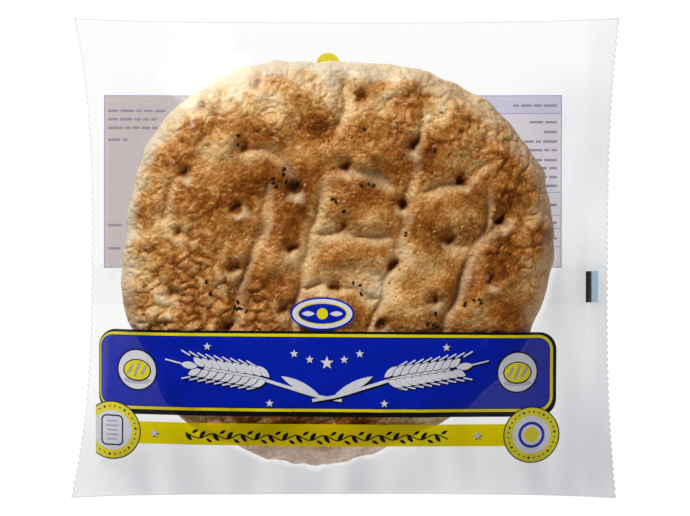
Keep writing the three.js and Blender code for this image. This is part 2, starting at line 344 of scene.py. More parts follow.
def placed(name, data):
    """A new object in the scene."""
    item = bpy.data.objects.new(name, data)
    bpy.context.scene.collection.objects.link(item)
    return item


def new_mesh(name, points, faces, smooth=True):
    """A mesh object from points in millimetres."""
    mesh = bpy.data.meshes.new(name)
    mesh.from_pydata((np.asarray(points) * MM).tolist(), [], faces)
    mesh.polygons.foreach_set("use_smooth", [smooth] * len(mesh.polygons))
    mesh.update()
    return placed(name, mesh)


def give(piece, name, values):
    """Stores a number per point for the material to read."""
    attribute = piece.data.attributes.new(name, "FLOAT", "POINT")
    attribute.data.foreach_set("value", np.ascontiguousarray(values, np.float32))


CRUST_CELLS = 288  # along a side of the square grid that is rounded into the crust
UNDERSIDE_RINGS = 9


def bread_mesh():
    """The crust from its top to its widest line, and the underside in rings down to its flat foot."""
    side = CRUST_CELLS + 1
    u, v = np.meshgrid(np.linspace(-1, 1, side), np.linspace(-1, 1, side))
    disk_x, disk_y = u * np.sqrt(1 - v**2 / 2), v * np.sqrt(1 - u**2 / 2)
    rho, angle = np.hypot(disk_x, disk_y), np.arctan2(disk_y, disk_x)
    shares, heights, runs, crust_run = rolled_profile()
    share = np.interp(rho, runs, shares)
    z = np.interp(rho, runs, heights)
    radius = bread_radius(angle)
    x = BREAD_CENTRE[0] + np.cos(angle) * share * radius
    y = BREAD_CENTRE[1] + np.sin(angle) * share * radius
    flat_x, flat_y = np.cos(angle) * rho * crust_run, np.sin(angle) * rho * crust_run
    relief, bake_and_shade, cream_and_lit_side, pale = crust(x, y, flat_x, flat_y, rho)

    surface = np.stack([x, y, z], -1)
    normal = np.cross(np.gradient(surface, axis=1), np.gradient(surface, axis=0))
    normal /= np.linalg.norm(normal, axis=-1, keepdims=True)
    surface = surface + normal * relief[..., None]

    points = surface.reshape(-1, 3)
    index = np.arange(side * side).reshape(side, side)
    faces = grid_quads(index).tolist()
    rim = np.concatenate([index[0, :-1], index[:-1, -1], index[-1, :0:-1], index[:0:-1, 0]])

    around = np.arctan2(points[rim, 1] - BREAD_CENTRE[1], points[rim, 0] - BREAD_CENTRE[0])
    bow = np.stack([np.cos(around), np.sin(around)], -1) * bread_radius(around)[:, None]
    bulge = points[rim, :2] - (np.array(BREAD_CENTRE) + bow)
    rings, ring_bake_and_shade = [], []
    for i in range(1, UNDERSIDE_RINGS + 1):
        turn = i / UNDERSIDE_RINGS * math.pi / 2
        at = FOOT_SHARE + (1 - FOOT_SHARE) * math.cos(turn)
        sink = 1 - math.sin(turn)
        height = FOOT_LIFT + (points[rim, 2] - FOOT_LIFT) * sink
        plan = np.array(BREAD_CENTRE) + bow * at + bulge * sink
        rings.append(np.column_stack([plan, height]))
        ring_bake_and_shade.append(bake_and_shade.ravel()[rim] * sink + 0.3 * (1 - sink))
    count = len(rim)
    previous = rim
    for i in range(UNDERSIDE_RINGS):
        ring = side * side + i * count + np.arange(count)
        after, before = np.roll(ring, -1), np.roll(previous, -1)
        faces += np.stack([previous, ring, after, before], -1).tolist()
        previous = ring
    faces.append(previous[::-1].tolist())
    points = np.concatenate([points, *rings])
    bread = new_mesh("bread", points, faces)
    below = np.zeros(count * UNDERSIDE_RINGS)
    give(bread, "bake_and_shade", np.append(bake_and_shade, ring_bake_and_shade))
    give(bread, "cream_and_lit_side", np.append(cream_and_lit_side, below))
    give(bread, "pale", np.append(pale, below + 1))
    return bread


bread = bread_mesh()


# ---- The crust's finish ----------------------------------------------------------------------
# Baked wheat crust: golden brown on the blisters, darker in creases and holes partly as painted shade,
# cream where the dough was stretched in furrows and holes, laid on the lit walls only as painted light,
# and pale on the side that lay against the next loaf. Dull, with a faint sheen of oil.
def linear(colour):
    """An sRGB hex colour as the linear values a shader takes."""
    parts = (int(colour[i : i + 2], 16) / 255 for i in (1, 3, 5))
    return (*(c / 12.92 if c <= 0.04045 else ((c + 0.055) / 1.055) ** 2.4 for c in parts), 1.0)


def add(tree, kind, inputs=(), **settings):
    """A node with its settings. An input takes a value, a socket, or a node for its first output."""
    node = tree.nodes.new(kind)
    for name, value in settings.items():
        setattr(node, name, value)
    for name, value in dict(inputs).items():
        if isinstance(value, bpy.types.Node):
            value = next(socket for socket in value.outputs if socket.enabled)
        if isinstance(value, bpy.types.NodeSocket):
            tree.links.new(value, node.inputs[name])
        else:
            node.inputs[name].default_value = value
    return node


def new_material(name):
    material = bpy.data.materials.new(name)
    material.use_nodes = True
    material.node_tree.nodes.clear()
    return material, material.node_tree


def finished(material, shader):
    add(material.node_tree, "ShaderNodeOutputMaterial", {"Surface": shader})
    return material


def stored(tree, *names):
    """Numbers that the mesh carries for each of its points."""
    return [add(tree, "ShaderNodeAttribute", attribute_name=name).outputs["Fac"] for name in names]


def clouds(tree, place, scale, detail=2.0, roughness=0.5, **settings):
    """Noise over a surface, in so many waves to the metre."""
    inputs = {"Vector": place, "Scale": scale, "Detail": detail, "Roughness": roughness}
    return add(tree, "ShaderNodeTexNoise", inputs, **settings)


def maths(tree, operation, *values):
    """A number worked out from others."""
    return add(tree, "ShaderNodeMath", enumerate(values), operation=operation)


def blend(tree, share, first, second):
    """A colour between two."""
    return add(tree, "ShaderNodeMix", {"Factor": share, "A": first, "B": second}, data_type="RGBA")


def coating(tree, colour, roughness, gloss, others=()):
    """An opaque surface."""
    inputs = {"Base Color": colour, "Roughness": roughness, "Specular IOR Level": gloss}
    return add(tree, "ShaderNodeBsdfPrincipled", {**inputs, **dict(others)})


def ramp(tree, value, stops):
    """A colour ramp; its stops are places and hex colours."""
    node = add(tree, "ShaderNodeValToRGB", {"Fac": value})
    for place, colour in stops[2:]:
        node.color_ramp.elements.new(place)
    for element, (place, colour) in zip(node.color_ramp.elements, sorted(stops)):
        element.position = place
        element.color = linear(colour)
    return node.outputs["Color"]


def crust_material():
    """Matt skin from gold to dark brown as it baked and where shade is painted in, cream on the lit
    stretched walls as painted light, and floury where pale.
    """
    material, tree = new_material("baked_wheat_crust")
    place = add(tree, "ShaderNodeTexCoord").outputs["Object"]
    bake_and_shade, cream_and_lit_side, pale = stored(tree, "bake_and_shade", "cream_and_lit_side", "pale")
    # Browning in specks of about 2 mm and blotches of about 15 mm.
    fine = clouds(tree, place, 500.0, 3.0, 0.6)
    blotch = clouds(tree, place, 65.0, 3.0)
    speckled = maths(tree, "MULTIPLY_ADD", fine, 0.7, bake_and_shade)
    patched = maths(tree, "MULTIPLY_ADD", blotch, 0.18, speckled)
    # The value for the ramp carries the browning and the painted shade of creases and holes.
    brown_and_shade = maths(tree, "SUBTRACT", patched, 0.44)
    browns = [(0.0, "#CCB592"), (1.0, "#542705"), (0.25, "#C09964"), (0.5, "#A36D33"), (0.74, "#7E4511")]
    top = ramp(tree, brown_and_shade, browns)
    cream = ramp(tree, fine, [(0.3, "#B99B70"), (0.7, "#C9AF87")])
    # Cream on the stretched walls that face the light: paler dough with painted light.
    pressed_and_lit = blend(tree, cream_and_lit_side, top, cream)
    dough = ramp(tree, fine, [(0.3, "#B5A58A"), (0.7, "#C4B59B")])
    # The side towards the foot of the pack kept its flour and is a little pink.
    across = add(tree, "ShaderNodeSeparateXYZ", {"Vector": place})
    towards_foot = add(tree, "ShaderNodeMapRange", {"Value": across.outputs["Y"], 1: -0.094, 2: -0.112})
    floury = blend(tree, towards_foot, dough, linear("#E8CCB8"))
    sided = blend(tree, pale, pressed_and_lit, floury)
    # Blistered skin: bumps of about 2 mm over wrinkles of about 4 mm.
    skin = add(tree, "ShaderNodeTexVoronoi", {"Vector": place, "Scale": 520.0, "Randomness": 1.0})
    swollen = add(tree, "ShaderNodeBump", {"Height": skin, "Strength": 0.4, "Distance": -0.0009})
    wrinkles = clouds(tree, place, 240.0, 3.0, 0.6, noise_type="RIDGED_MULTIFRACTAL")
    rough = {"Height": wrinkles, "Strength": 1.0, "Distance": -0.0011, "Normal": swollen}
    bump = add(tree, "ShaderNodeBump", rough)
    oiled = {"Specular Tint": linear("#FFE3B8"), "Normal": bump}
    return finished(material, coating(tree, sided, 0.35, 0.2, oiled))


bread.data.materials.append(crust_material())
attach(bread, "root")
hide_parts("bagged_bread")


# ---- The seeds -------------------------------------------------------------------------------
# Black cumin strewn in loose groups along the furrows and hulled sesame over the whole crust,
# pressed into the wet dough before baking, so that each lies on its flat side a little sunk.
BLACK_SEED_GROUPS = (  # x and y of a group, its spread and its number
    (-66, 72, 3, 2), (-36, 46, 9, 6), (-9, 29, 8, 3), (16, 45, 8, 3), (15, 79, 4, 1), (55, 63, 4, 1),
    (37, 14, 3, 2), (113, 24, 4, 1), (-84, -20, 6, 2), (-63, -30, 5, 5), (8, -18, 7, 3),
    (78, -31, 7, 5), (52, -38, 6, 4), (20, -37, 5, 1), (-112, -46, 8, 2), (30, -100, 14, 3),
)
SEED_SIZES = (0.82, 1.15)  # the smallest and the largest seed, as shares of the usual one
SESAME_GROUPS = ((-5, -4, 118, 34), (60, 40, 62, 26), (70, -10, 50, 14))


def seed_places(groups, draw):
    """Scattered places, evenly over each round group, on the crust's upper face only."""
    rng = np.random.default_rng(draw)
    places = []
    for x, y, spread, count in groups:
        reach = spread * np.sqrt(rng.random(count))
        angle = 2 * math.pi * rng.random(count)
        places += zip(x + reach * np.cos(angle), y + reach * np.sin(angle))
    return [place for place in places if share_out(*np.array(place)) < 0.9]


def seed_points(name, places, sink, draw):
    """A vertex per seed on the crust, with the directions that the seed stands and lies along."""
    surface = BVHTree.FromObject(bread, bpy.context.evaluated_depsgraph_get())
    rng = np.random.default_rng(draw)
    points, upward, along = [], [], []
    for x, y in places:
        hit, normal, _, _ = surface.ray_cast(Vector((x * MM, y * MM, 0.1)), Vector((0, 0, -1)))
        turn = 2 * math.pi * rng.random()
        points.append(hit / MM - normal * sink)
        upward.append(normal)
        along.append((math.cos(turn), math.sin(turn), 0))
    carrier = new_mesh(name, points, [])
    for label, vectors in (("upward", upward), ("along", along)):
        attribute = carrier.data.attributes.new(label, "FLOAT_VECTOR", "POINT")
        attribute.data.foreach_set("vector", np.array(vectors, np.float32).ravel())
    return carrier


def seed_tree():
    """Puts one tapered seed on every point, turned by the point's directions."""
    tree = bpy.data.node_groups.new("strewn_seeds", "GeometryNodeTree")
    tree.interface.new_socket("Seeds", in_out="OUTPUT", socket_type="NodeSocketGeometry")
    kinds = {"Places": "Geometry", "Draw": "Int", "Finish": "Material"}
    for name in ("Places", "Length", "Width", "Height", "Taper", "Draw", "Finish"):
        kind = "NodeSocket" + kinds.get(name, "Float")
        tree.interface.new_socket(name, in_out="INPUT", socket_type=kind)
    given = add(tree, "NodeGroupInput").outputs
    ball = add(tree, "GeometryNodeMeshUVSphere", {"Segments": 9, "Rings": 7, "Radius": 0.5})
    position = add(tree, "GeometryNodeInputPosition")
    along = add(tree, "ShaderNodeSeparateXYZ", {"Vector": position}).outputs["X"]
    slim = maths(tree, "MULTIPLY_ADD", along, given["Taper"], 1.0)
    width, height = (maths(tree, "MULTIPLY", slim, given[name]) for name in ("Width", "Height"))
    size = add(tree, "ShaderNodeCombineXYZ", {"X": given["Length"], "Y": width, "Z": height})
    shaped = add(tree, "ShaderNodeVectorMath", {0: position, 1: size}, operation="MULTIPLY")
    seed = add(tree, "GeometryNodeSetPosition", {"Geometry": ball, "Position": shaped})
    directions = [
        add(tree, "GeometryNodeInputNamedAttribute", {"Name": name}, data_type="FLOAT_VECTOR")
        for name in ("upward", "along")
    ]
    axes = {"Primary Axis": directions[0], "Secondary Axis": directions[1]}
    turned = add(tree, "FunctionNodeAxesToRotation", axes, primary_axis="Z", secondary_axis="X")
    spread = add(tree, "FunctionNodeRandomValue", {"Seed": given["Draw"]}, data_type="FLOAT")
    spread.inputs[2].default_value, spread.inputs[3].default_value = SEED_SIZES
    laid = {"Points": given["Places"], "Instance": seed, "Rotation": turned, "Scale": spread}
    strewn = add(tree, "GeometryNodeInstanceOnPoints", laid)
    whole = add(tree, "GeometryNodeRealizeInstances", {"Geometry": strewn})
    coated = add(tree, "GeometryNodeSetMaterial", {"Geometry": whole, "Material": given["Finish"]})
    add(tree, "NodeGroupOutput", {"Seeds": coated})
    return tree


def realised(name, carrier, tree, inputs):
    """The tree's result on a carrier, as a plain mesh; the carrier goes."""
    modifier = carrier.modifiers.new("seeds", "NODES")
    modifier.node_group = tree
    for socket in tree.interface.items_tree:
        if socket.in_out == "INPUT" and socket.name in inputs:
            modifier[socket.identifier] = inputs[socket.name]
    grown = carrier.evaluated_get(bpy.context.evaluated_depsgraph_get())
    mesh = bpy.data.meshes.new_from_object(grown)
    mesh.polygons.foreach_set("use_smooth", [True] * len(mesh.polygons))
    piece = placed(name, mesh)
    bpy.data.objects.remove(carrier)
    return piece


def seed_material(name, colours, roughness, wrinkle):
    """A dry seed coat: colour that changes from seed to seed, over wrinkles of about 0.6 mm."""
    material, tree = new_material(name)
    place = add(tree, "ShaderNodeTexCoord").outputs["Object"]
    coat = ramp(tree, clouds(tree, place, 300.0), [(0.35, colours[0]), (0.65, colours[1])])
    folds = clouds(tree, place, 1700.0)
    bump = add(tree, "ShaderNodeBump", {"Height": folds, "Strength": wrinkle, "Distance": 0.0003})
    return finished(material, coating(tree, coat, roughness, 0.15, {"Normal": bump}))


strewn_seeds = seed_tree()
SEEDS = (  # piece, slot, groups, depth, random draws, length, width, height and taper, coat
    # Black cumin: a dull, finely wrinkled black coat.
    (
        "black_seeds", "black_seed", BLACK_SEED_GROUPS, 0.1, (7, 71, 3), (3.3, 1.9, 1.5, -0.9),
        ("black_cumin_coat", ("#190B04", "#28150B"), 0.6, 0.8),
    ),
    # Hulled sesame, toasted: smooth ivory with a touch of gold.
    (
        "sesame_seeds", "pale_seed", SESAME_GROUPS, 0.05, (8, 72, 4), (2.8, 1.6, 0.9, -1.1),
        ("toasted_sesame_hull", ("#9C6E38", "#B2874E"), 0.5, 0.3),
    ),
)
for name, slot, groups, sink, draws, (length, width, height, taper), coat in SEEDS:
    places = seed_points(f"{name}_places", seed_places(groups, draws[0]), sink, draws[1])
    inputs = {"Length": length * MM, "Width": width * MM, "Height": height * MM, "Taper": taper}
    inputs.update({"Draw": draws[2], "Finish": seed_material(*coat)})
    piece = realised(name, places, strewn_seeds, inputs)
    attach(piece, "root")
    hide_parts("bagged_bread")


# ---- The bag's film --------------------------------------------------------------------------
# One web of clear polypropylene film, about 0.04 mm thick, wrapped round the bread as a tube, sealed
# along the back in a flat fin, and crimped shut and cut with a zigzag knife at both ends. A single
# surface stands for each wall, because the film is too thin to show an edge.
BAG_HALF_LENGTH, BAG_HALF_WIDTH = 169.9, 148.8
LEFT_END_BOW, RIGHT_END_BOW, LONG_EDGE_BOW = 13.0, 7.0, 2.4
BOW_POWER, CORNER_LEAN = 2.6, 1.9
END_SEAL_WIDTH = 12.0
SEAL_HEIGHT, SEAL_WAVE = 4.2, 1.1
WALL_GAP = 0.3  # between the walls where they are sealed together
RIB_PITCH, RIB_HEIGHT = 4.0, 0.12  # the crimp in the end seals
ZIGZAG = 0.6
FILM_COLUMNS, FILM_ROWS = 173, 150
OVER_CRUST = 0.35
BACK_HEIGHT, LOWEST_BACK = 0.3, 0.12
SEALED_SLACK = 0.25  # how much of the film's slack is left in the end seals
GROUND_X, GROUND_Y = 180, 160  # half the sides of the grid that keeps the bread's height
SETTLING_ROUNDS = 1500
FILM_CREASES = (  # x and y of both ends, height, half width
    (166, 149, 147, 126, 1.6, 2.2), (160, 149, 132, 112, 1.1, 4.0), (152, 148, 141, 138, -0.9, 2.0),
    (-160, 147, -128, 118, 1.0, 3.5), (-164, 149, -150, 132, -0.8, 2.0),
    (-166, -148, -140, -118, 1.1, 3.0), (-130, -148, -100, -134, 1.3, 2.2),
    (-122, -132, -92, -143, -0.9, 2.0), (-44, -147, -37, -126, 1.3, 2.0),
    (-52, -133, -26, -138, -1.0, 1.8), (-18, -146, 6, -126, 1.0, 2.6), (18, -146, 36, -124, 1.2, 2.2),
    (44, -144, 66, -128, -0.8, 2.4), (96, -146, 110, -120, 1.0, 3.0), (163, -148, 139, -118, 1.5, 2.6),
    (150, -147, 146, -134, -0.9, 1.6), (141, 112, 143, 20, 0.9, 3.2), (143, -30, 139, -96, 0.9, 3.6),
    (-150, 96, -148, 40, 0.6, 2.4), (-147, -22, -152, -84, 0.7, 2.4), (70, 148, 62, 128, 0.7, 3.0),
    (-78, 149, -66, 132, 0.7, 3.0), (4, 148, 2, 128, 0.5, 3.4),
)


def bag_point(u, v):
    """The bag's plan: u runs from one cut end to the other and v from one fold to the other."""
    bow = 1 - np.abs(v) ** BOW_POWER
    lean = CORNER_LEAN * np.maximum(0, -u * v)
    end = BAG_HALF_LENGTH - lean - bow * (LEFT_END_BOW * (1 - u) + RIGHT_END_BOW * (1 + u)) / 2
    return u * end, v * (BAG_HALF_WIDTH - LONG_EDGE_BOW * (1 - u**4))


def edge_height(x, y):
    return SEAL_HEIGHT + SEAL_WAVE * np.sin(x / 34 + 0.6) * np.cos(y / 41)


def highest(grid):
    """Each value becomes the highest of itself and its neighbours."""
    wide = np.pad(grid, 1, mode="edge")
    rows, columns = grid.shape
    return np.max([wide[i : i + rows, j : j + columns] for i in range(3) for j in range(3)], axis=0)


def settle(start, pinned, lowest):
    """A taut sheet over what lies under it: each free point sinks to the mean of its neighbours."""
    z = start.copy()
    for _ in range(SETTLING_ROUNDS):
        mean = 0.25 * (z[:-2, 1:-1] + z[2:, 1:-1] + z[1:-1, :-2] + z[1:-1, 2:])
        sunk = np.maximum(mean, lowest[1:-1, 1:-1])
        z[1:-1, 1:-1] = np.where(pinned[1:-1, 1:-1], z[1:-1, 1:-1], sunk)
    return z


def creases(x, y):
    """Ridges and valleys where the film has buckled: sharp across, fading towards both ends."""
    relief = np.zeros(x.shape)
    for x0, y0, x1, y1, height, half_width in FILM_CREASES:
        length = math.hypot(x1 - x0, y1 - y0)
        along = ((x - x0) * (x1 - x0) + (y - y0) * (y1 - y0)) / length
        across = ((x - x0) * (y1 - y0) - (y - y0) * (x1 - x0)) / length
        bend = across + 0.06 * length * np.sin(math.pi * along / length)
        fade = np.clip(along / length, 0, 1) * np.clip(1 - along / length, 0, 1) * 4
        relief += height * fade * np.exp(-np.abs(bend) / half_width)
    return relief


def film_heights():
    """The plan of the film's grid and the heights of its front and back walls."""
    u, v = np.meshgrid(np.linspace(-1, 1, FILM_COLUMNS), np.linspace(-1, 1, FILM_ROWS))
    x, y = bag_point(u, v)
    count = len(bread.data.vertices)
    points = np.empty(count * 3)
    bread.data.vertices.foreach_get("co", points)
    points = points.reshape(-1, 3) / MM
    reach = BAG_HALF_LENGTH * 2 / (FILM_COLUMNS - 1)
    column = np.rint((points[:, 0] + GROUND_X) / reach).astype(int)
    row = np.rint((points[:, 1] + GROUND_Y) / reach).astype(int)
    ground = np.zeros((int(2 * GROUND_Y / reach) + 2, int(2 * GROUND_X / reach) + 2))
    np.maximum.at(ground, (row, column), points[:, 2])
    ground = highest(ground)
    under = sampled(ground, (x + GROUND_X) / reach, (y + GROUND_Y) / reach)
    under = np.where(under > 5, under + OVER_CRUST, 0)

    edge = edge_height(x, y)
    end = np.where(u < 0, -1, 1)
    sealed = np.abs(x) > bag_point(end, v)[0] * end - END_SEAL_WIDTH
    border = np.zeros(u.shape, bool)
    border[[0, -1]] = True
    border[:, [0, -1]] = True
    front = settle(np.maximum(edge, under), sealed | border, under)
    resting = share_out(x, y) < FOOT_SHARE + 0.01
    back = settle(np.where(resting, BACK_HEIGHT, edge), sealed | border | resting, np.zeros(u.shape))

    free = step(0.0, 2.0, front - under) * ~border
    slack = creases(x, y) + 0.16 * noise(x, y, 41, 34) + 0.03 * noise(x, y, 42, 9)
    rib = RIB_HEIGHT * np.sin(2 * math.pi * x / RIB_PITCH) * sealed
    front = front + np.where(sealed, SEALED_SLACK * slack, slack * free)
    back_slack = 0.4 * slack * np.clip(back / 4, 0, 1)
    back = back + np.where(sealed, SEALED_SLACK * slack, back_slack) * ~border
    front = np.where(border, edge, np.maximum(front + rib + WALL_GAP / 2 * sealed, under))
    back = np.where(border, edge, np.maximum(back + rib - WALL_GAP / 2 * sealed, LOWEST_BACK))
    front = np.where(border, edge, np.maximum(front, back + WALL_GAP))
    # Painted shade: the film lets less through towards the lower right, in soft streaks, and more where
    # it rests on the crust than where it stands clear of it.
    shade_streaks = noise(x, y, 43, 26, 3.0, math.pi / 2)
    to_foot = 0.7 * step(-75, -130, y) * (1 - 0.4 * step(-125, -165, x))
    to_right = step(90, 140, x) * step(130, 80, y) * (0.3 + 0.35 * step(25, -30, y))
    to_right = to_right + 0.15 * step(147, 157, x)
    towards = 1 - (1 - to_foot) * (1 - to_right)
    off_crust = 0.2 + 0.8 * step(0.0, 6.0, front - under)
    painted_film_shade = np.clip(towards * (1 + 0.12 * shade_streaks), 0, 1) * off_crust
    tooth = ZIGZAG * np.where(np.arange(FILM_ROWS) % 2, 1, -1)
    tooth[[0, 1, -2, -1]] = 0
    x[:, 0] -= tooth
    x[:, -1] += tooth
    return x, y, front, back, sealed, painted_film_shade


def film_mesh(x, y, front, back, sealed, painted_film_shade):
    """Front and back walls that share their outline, closed all round."""
    index = np.arange(x.size).reshape(x.shape)
    under = index + x.size
    under[[0, -1]] = index[[0, -1]]
    under[:, [0, -1]] = index[:, [0, -1]]
    points = np.concatenate([np.stack([x, y, z], -1).reshape(-1, 3) for z in (front, back)])
    outward_back = grid_quads(under)[:, [0, 3, 2, 1]]
    used, faces = only_used(np.concatenate([grid_quads(index), outward_back]))
    film = new_mesh("film_bag", points[used], faces)
    give(film, "sealed", np.concatenate([sealed.ravel()] * 2)[used])
    give(film, "painted_film_shade", np.concatenate([painted_film_shade.ravel()] * 2)[used])
    return film


def film_material():
    """Clear polypropylene: mirror-like where it turns away, a breath of haze, more in the seals, and
    passing less light towards the lower right as painted shade.
    """
    material, tree = new_material("clear_polypropylene_film")
    place = add(tree, "ShaderNodeTexCoord").outputs["Object"]
    sealed, painted_film_shade = stored(tree, "sealed", "painted_film_shade")
    ripple = clouds(tree, place, 55.0, 3.0, 0.45)
    bump = add(tree, "ShaderNodeBump", {"Height": ripple, "Strength": 0.12, "Distance": 0.002})
    turned = add(tree, "ShaderNodeLayerWeight", {"Blend": 0.5, "Normal": bump})
    slope = maths(tree, "POWER", turned.outputs["Facing"], 5.0)
    mirror = maths(tree, "MULTIPLY_ADD", slope, 0.45, 0.014)
    gloss = add(
        tree, "ShaderNodeBsdfAnisotropic", {"Color": linear("#BEBEBE"), "Roughness": 0.10, "Normal": bump}
    )
    # Less is let through where the painted shade lies.
    passed = ramp(tree, painted_film_shade, [(0.0, "#FBFBFB"), (1.0, "#E1E2E4")])
    clear = add(tree, "ShaderNodeBsdfTransparent", {"Color": passed})
    haze = add(tree, "ShaderNodeBsdfDiffuse", {"Color": linear("#E8E9EA")})
    cloud = maths(tree, "MULTIPLY_ADD", sealed, 0.04, 0.0005)
    body = add(tree, "ShaderNodeMixShader", {0: cloud, 1: clear, 2: haze})
    return finished(material, add(tree, "ShaderNodeMixShader", {0: mirror, 1: body, 2: gloss}))


film_x, film_y, front_z, back_z, sealed, painted_film_shade = film_heights()
film = film_mesh(film_x, film_y, front_z, back_z, sealed, painted_film_shade)
clear_film = film_material()
film.data.materials.append(clear_film)
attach(film, "root")
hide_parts("bagged_bread")


# ---- The print -------------------------------------------------------------------------------
# Flexographic inks printed on the inside of the film, and read through it: opaque blue, black,
# white, grey and yellow with a clear yellow stripe on the front, and ruled panels on the back.
PRINT_STEP = 2.0  # distance between the points that let the ink follow the film
UNDER_FILM = 0.13
SEAL_HEIGHT_AT_CUT = 4.0  # the height of ink that meets no film below it
CURVE_STEPS, CORNER_STEPS, LEAF_STEPS = 40, 8, 8


def from_point(x, y, reach, turn):
    """The point at a distance and in a direction from another."""
    return x + reach * math.cos(turn), y + reach * math.sin(turn)


def rounded_box(x0, y0, x1, y1, radius):
    """The outline of a box with rounded corners, anticlockwise."""
    outline = []
    for cx, cy, start in (
        (x1 - radius, y0 + radius, -90),
        (x1 - radius, y1 - radius, 0),
        (x0 + radius, y1 - radius, 90),
        (x0 + radius, y0 + radius, 180),
    ):
        for i in range(CORNER_STEPS + 1):
            outline.append(from_point(cx, cy, radius, math.radians(start + 90 * i / CORNER_STEPS)))
    return outline


def box(x0, y0, x1, y1):
    return [(x0, y0), (x1, y0), (x1, y1), (x0, y1)]


def disc(x, y, radius, steps=CURVE_STEPS):
    return [from_point(x, y, radius, 2 * math.pi * i / steps) for i in range(steps)]


def oval(x, y, across, up):
    return [(x + across * (px - x), y + up * (py - y)) for px, py in disc(x, y, 1)]


def star(x, y, radius):
    reaches = (radius, 0.42 * radius) * 5
    return [from_point(x, y, reach, math.radians(90 + 36 * i)) for i, reach in enumerate(reaches)]


def leaf(x, y, length, width, lean):
    """A pointed leaf or grain that starts at x, y and leans by an angle in degrees."""
    turn = math.radians(lean)
    shares = [i / LEAF_STEPS for i in range(LEAF_STEPS + 1)]
    half = [(t, math.sin(math.pi * t) ** 0.8) for t in shares]
    sides = [(t * length, w * width / 2) for t, w in half[:-1]]
    sides += [(t * length, -w * width / 2) for t, w in half[:0:-1]]
    return [
        (x + a * math.cos(turn) - b * math.sin(turn), y + a * math.sin(turn) + b * math.cos(turn))
        for a, b in reversed(sides)
    ]


def stroke(points, width):
    """A band of one width along a smooth curve through a few points."""
    line = spline(points, 6)
    line = line[np.concatenate([[True], np.any(np.diff(line, axis=0) != 0, axis=1)])]
    way = np.gradient(line, axis=0)
    way /= np.linalg.norm(way, axis=1, keepdims=True)
    aside = np.stack([-way[:, 1], way[:, 0]], -1) * width / 2
    return [tuple(p) for p in np.concatenate([line - aside, (line + aside)[::-1]])]


def wheat_ear(x, y, mirror):
    """A lying ear of wheat: the outlines of its stalk, its bristles and its grains."""
    stalk = [stroke(((-50, -14), (-34, -11), (-14, -5), (4, 0), (34, 5)), 1.9)]
    stalk.append(leaf(-37, -11.5, 27, 5.4, 27))
    bristles, grains = [], []
    for i in range(9):
        along = -6 + i * 5.0
        height = 0.14 * along
        length = 10.5 - 0.25 * i
        for side, lean in ((1, 40), (-1, -23)):
            grains.append(leaf(along + (side < 0) * 2.0, height + side * 0.9, length, 4.2, lean))
            tip = (along + 8.5, height + 1 + 6.5 * side)
            bristles.append(stroke((tip, (tip[0] + 5.5, tip[1] + 2.2 * side + 1)), 0.9))
    grains.append(leaf(38, 5.6, 10.5, 4.4, 8))
    bristles.append(stroke(((47, 7), (58, 9.5)), 0.9))
    return [
        [[(x + mirror * px, y + py) for px, py in part][::mirror] for part in parts]
        for parts in (stalk, bristles, grains)
    ]


def shifted(outline, dx, dy):
    return [(x + dx, y + dy) for x, y in outline]


def divided(outline, step_size):
    """The same outline with points along its long sides, so that it can follow a curved wall."""
    points = []
    for (x0, y0), (x1, y1) in zip(outline, outline[1:] + outline[:1]):
        parts = max(1, math.ceil(math.hypot(x1 - x0, y1 - y0) / step_size))
        points += [(x0 + (x1 - x0) * i / parts, y0 + (y1 - y0) * i / parts) for i in range(parts)]
    return points


def spread_out(shapes, step_size):
    """Triangles over all shapes, each with the ink of the last shape that covers it."""
    points, faces = [], []
    for _, outline in shapes:
        outline = divided(outline, step_size)
        faces.append(list(range(len(points), len(points) + len(outline))))
        points += outline
    low, high = np.min(points, axis=0), np.max(points, axis=0)
    for row, y in enumerate(np.arange(low[1], high[1], step_size * 0.87)):
        start = low[0] + (row % 2) * step_size / 2
        points += [(x, y) for x in np.arange(start, high[0], step_size)]
    found = delaunay_2d_cdt([Vector(point) for point in points], [], faces, 1, 1e-4)
    corners, triangles, sources = found[0], found[2], found[5]
    plan = np.array([tuple(corner) for corner in corners])
    kept = [i for i, source in enumerate(sources) if source]
    return plan, [triangles[i] for i in kept], [shapes[max(sources[i])][0] for i in kept]


def layer_on(name, wall, shapes, offset, inks):
    """A thin layer, such as ink, that follows a wall of the film at a small distance."""
    plan, triangles, ink_names = spread_out(shapes, PRINT_STEP)
    used, faces = only_used(triangles)
    heights = []
    for x, y in plan[used]:
        hit = wall.ray_cast(Vector((x * MM, y * MM, 0.1)), Vector((0, 0, -1)))[0]
        heights.append(hit.z / MM + offset if hit else SEAL_HEIGHT_AT_CUT)
    layer = new_mesh(name, np.column_stack([plan[used], heights]), faces)
    names = list(inks)
    for ink in names:
        layer.data.materials.append(inks[ink])
    layer.data.polygons.foreach_set("material_index", [names.index(ink) for ink in ink_names])
    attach(layer, "root")
    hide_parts("bagged_bread")
    return layer


def wall_of(heights):
    """A ray target with the shape of one wall."""
    index = np.arange(film_x.size).reshape(film_x.shape)
    points = np.stack([film_x, film_y, heights], -1).reshape(-1, 3) * MM
    return BVHTree.FromPolygons(points.tolist(), grid_quads(index).tolist())


